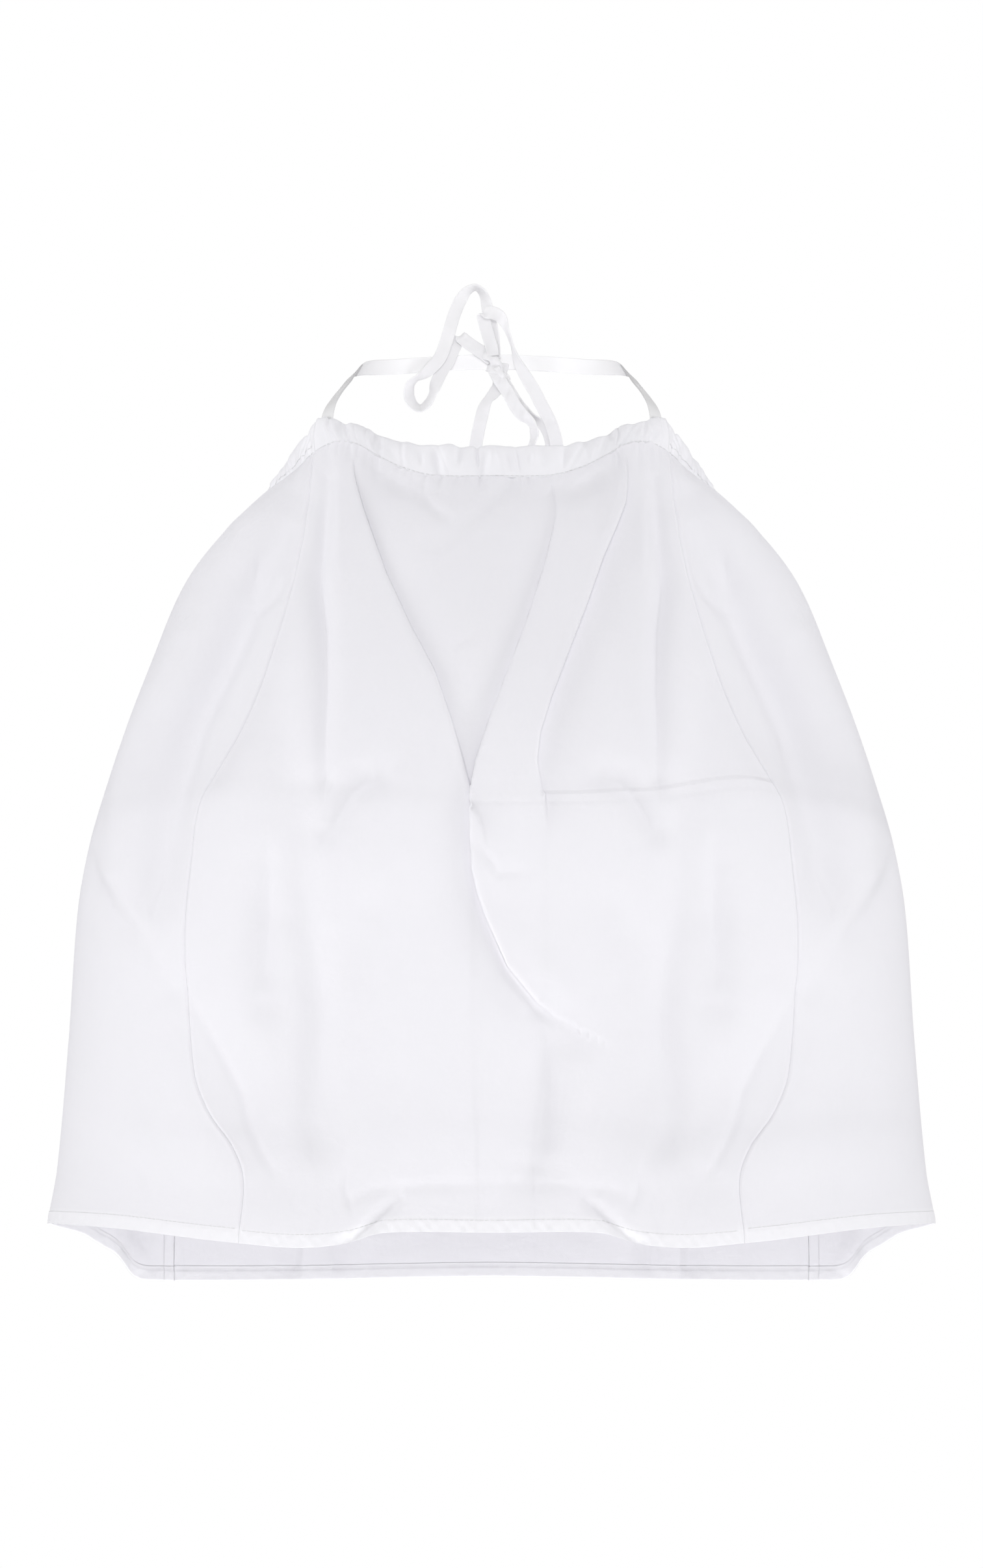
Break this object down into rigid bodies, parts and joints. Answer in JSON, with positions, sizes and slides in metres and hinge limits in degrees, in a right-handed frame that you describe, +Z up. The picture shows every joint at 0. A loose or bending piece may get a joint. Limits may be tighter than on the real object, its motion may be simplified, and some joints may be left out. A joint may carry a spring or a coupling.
{
  "type": "halter neck top",
  "caption": "Sleeveless halter neck top in white cotton with gathered neck and arm casings, a narrow neck strap, a tied drawstring and a longer back hem.",
  "frame": {"origin": "middle of the neck strap at the nape, where the wearer holds the top up", "axes": "+Z up, the front of the top faces -Y, +X is to the right of someone who looks at the front"},
  "size_m": [0.5756, 0.3105, 0.6599],
  "materials": {
    "cotton_cloth": "matte, crisp plain weave",
    "tie_tape": "matte, folded flat tape of the same cloth",
    "strap_ribbon": "smooth, faint satin sheen"
  },
  "bodies": {
    "root": {"front_panel": "cotton_cloth", "side_panel_left": "cotton_cloth", "side_panel_right": "cotton_cloth", "back_panel": "cotton_cloth", "neck_casing": "cotton_cloth", "arm_casing_left": "cotton_cloth", "arm_casing_right": "cotton_cloth", "back_casing": "cotton_cloth", "neck_strap": "strap_ribbon", "tie_knot": "tie_tape", "tie_left_loop": "tie_tape", "tie_right_loop": "tie_tape", "tie_left_feed": "tie_tape", "tie_right_feed": "tie_tape", "tie_left_tail": "tie_tape"}
  },
  "joints": []
}
